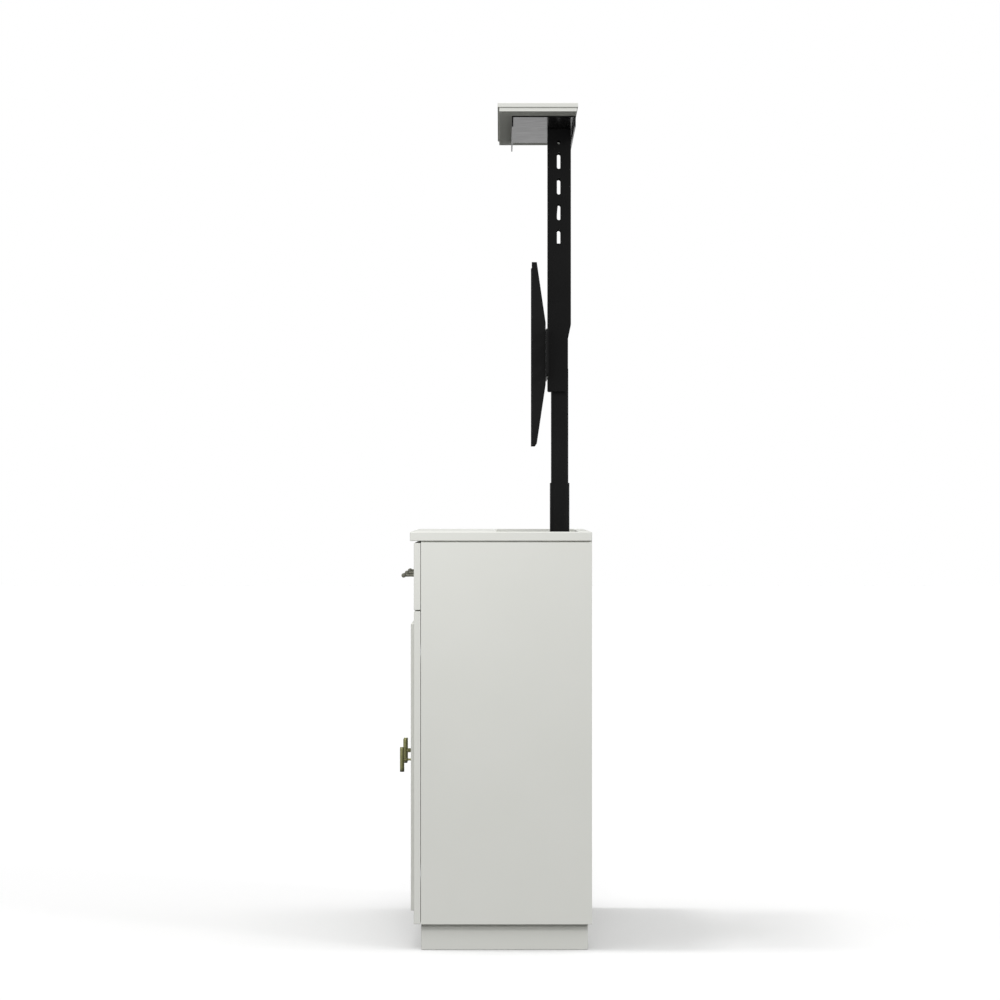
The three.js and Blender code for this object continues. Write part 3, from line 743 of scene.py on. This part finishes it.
for side in SIDES:
    for level in LEVELS:
        hinge_screws(side, level)
for side in SIDES:
    front_screws(side)
shelf_pins("shelf_wide")
shelf_pins("shelf_narrow")
back_screws()
corner_screws("base_screws", "lift_base_plate", BASE_SCREW_INSETS, BASE_SCREW)
corner_screws("control_box_screws", "control_box", CASE_SCREW_INSETS, CASE_SCREW)
tube_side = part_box("base_tube")[1].x
corner_screws("drive_gearbox_screws", "drive_gearbox", CASE_SCREW_INSETS, CASE_SCREW, left=tube_side)
inlet_pins()


# Floor and light
WHITE = (1, 1, 1, 1)
FLOOR_REACH = 60
FLOOR_TONE = (0.9, 0.9, 0.9)
# The floor's painted contact shadow: its tone at the foot, how far it reaches, and its samples.
FLOOR_PAINTED_SHADOW_TONE = (0.64, 0.64, 0.64)
FLOOR_PAINTED_SHADOW_REACH = 0.5
FLOOR_PAINTED_SHADOW_SAMPLES = 4
FLOOR_LIFT = 0.075
FLOOR_BOUNCE = (0.12, 0.12, 0.115, 1)
BACKGROUND_STRENGTH = 1
SURROUND_LIGHT = 0.7
SUN_SPREAD = math.radians(10)


def link_larger(tree, first, second):
    """The larger of two values."""
    larger = tree.nodes.new("ShaderNodeMath")
    larger.operation = "MAXIMUM"
    tree.links.new(first, larger.inputs[0])
    tree.links.new(second, larger.inputs[1])
    return larger.outputs[0]


def link_background(tree, lighting, shown, output_kind):
    """One shader lights the object, the other is seen by camera, glossy and transmission rays."""
    path = tree.nodes.new("ShaderNodeLightPath")
    seen = link_larger(tree, path.outputs["Is Camera Ray"], path.outputs["Is Glossy Ray"])
    seen = link_larger(tree, seen, path.outputs["Is Transmission Ray"])
    mix = tree.nodes.new("ShaderNodeMixShader")
    output = tree.nodes.new(output_kind)
    tree.links.new(seen, mix.inputs["Fac"])
    tree.links.new(lighting, mix.inputs[1])
    tree.links.new(shown, mix.inputs[2])
    tree.links.new(mix.outputs[0], output.inputs["Surface"])


def floor_material():
    """A pale floor with a painted contact shadow: darker close around the foot of the cabinet, by how
    much of the surround nearby is hidden.
    """
    material = bpy.data.materials.new("pale_floor")
    material.use_nodes = True
    tree = material.node_tree
    tree.nodes.clear()
    occlusion = tree.nodes.new("ShaderNodeAmbientOcclusion")
    occlusion.samples = FLOOR_PAINTED_SHADOW_SAMPLES
    occlusion.inputs["Distance"].default_value = FLOOR_PAINTED_SHADOW_REACH
    shadowed_tone = link_mix(tree, occlusion.outputs["AO"], FLOOR_PAINTED_SHADOW_TONE, FLOOR_TONE)
    shaded = tree.nodes.new("ShaderNodeBsdfDiffuse")
    tree.links.new(shadowed_tone, shaded.inputs["Color"])
    lift = tree.nodes.new("ShaderNodeEmission")
    lift.inputs["Color"].default_value = WHITE
    lift.inputs["Strength"].default_value = FLOOR_LIFT
    lifted = tree.nodes.new("ShaderNodeAddShader")
    tree.links.new(shaded.outputs[0], lifted.inputs[0])
    tree.links.new(lift.outputs[0], lifted.inputs[1])
    bounced = tree.nodes.new("ShaderNodeBsdfDiffuse")
    bounced.inputs["Color"].default_value = FLOOR_BOUNCE
    link_background(tree, bounced.outputs[0], lifted.outputs[0], "ShaderNodeOutputMaterial")
    return material


def staged_floor():
    """A wide flat floor that isn't part of the object."""
    reach = FLOOR_REACH
    corners = [(-reach, -reach, 0), (reach, -reach, 0), (reach, reach, 0), (-reach, reach, 0)]
    mesh = bpy.data.meshes.new("floor")
    mesh.from_pydata(corners, [], [(0, 1, 2, 3)])
    mesh.materials.append(floor_material())
    floor = bpy.data.objects.new("floor", mesh)
    scene.collection.objects.link(floor)


def background(tree, strength):
    """A plain white surround of one strength."""
    surround = tree.nodes.new("ShaderNodeBackground")
    surround.inputs["Color"].default_value = WHITE
    surround.inputs["Strength"].default_value = strength
    return surround.outputs[0]


def white_world():
    """A surround that is seen white and lights the object less than it shows."""
    world = bpy.data.worlds.new("studio")
    scene.world = world
    world.use_nodes = True
    tree = world.node_tree
    tree.nodes.clear()
    lighting = background(tree, SURROUND_LIGHT)
    shown = background(tree, BACKGROUND_STRENGTH)
    link_background(tree, lighting, shown, "ShaderNodeOutputWorld")


def new_lamp(name, data, towards):
    """A lamp that shines from the given direction."""
    lamp = bpy.data.objects.new(name, data)
    lamp.rotation_euler = towards.to_track_quat("Z", "Y").to_euler()
    scene.collection.objects.link(lamp)
    return lamp


def sun(name, azimuth, elevation, strength):
    """A soft distant lamp, its azimuth counted from +X towards +Y."""
    data = bpy.data.lights.new(name, "SUN")
    data.energy = strength
    data.angle = SUN_SPREAD
    side, height = math.radians(azimuth), math.radians(elevation)
    level = math.cos(height)
    new_lamp(name, data, Vector((level * math.cos(side), level * math.sin(side), math.sin(height))))


def near_lamp(name, place, target, size, power):
    """A weak square lamp beside the right end, which the camera doesn't see."""
    data = bpy.data.lights.new(name, "AREA")
    data.energy = power
    data.size = size
    lamp = new_lamp(name, data, Vector(place) - Vector(target))
    lamp.location = place
    lamp.visible_camera = False


staged_floor()
white_world()
sun("top_light", azimuth=-97, elevation=74, strength=0.7)
sun("end_light", azimuth=0, elevation=35, strength=0.61)
sun("corner_light", azimuth=35, elevation=15, strength=0.5)
near_lamp("panel_light", place=(1.5, -0.3, 1.25), target=(0.75, 0, 1.15), size=0.8, power=2.3)
near_lamp("lid_light", place=(1.3, 0.1, 1.9), target=(0.69, 0.1, 1.85), size=0.3, power=0.42)
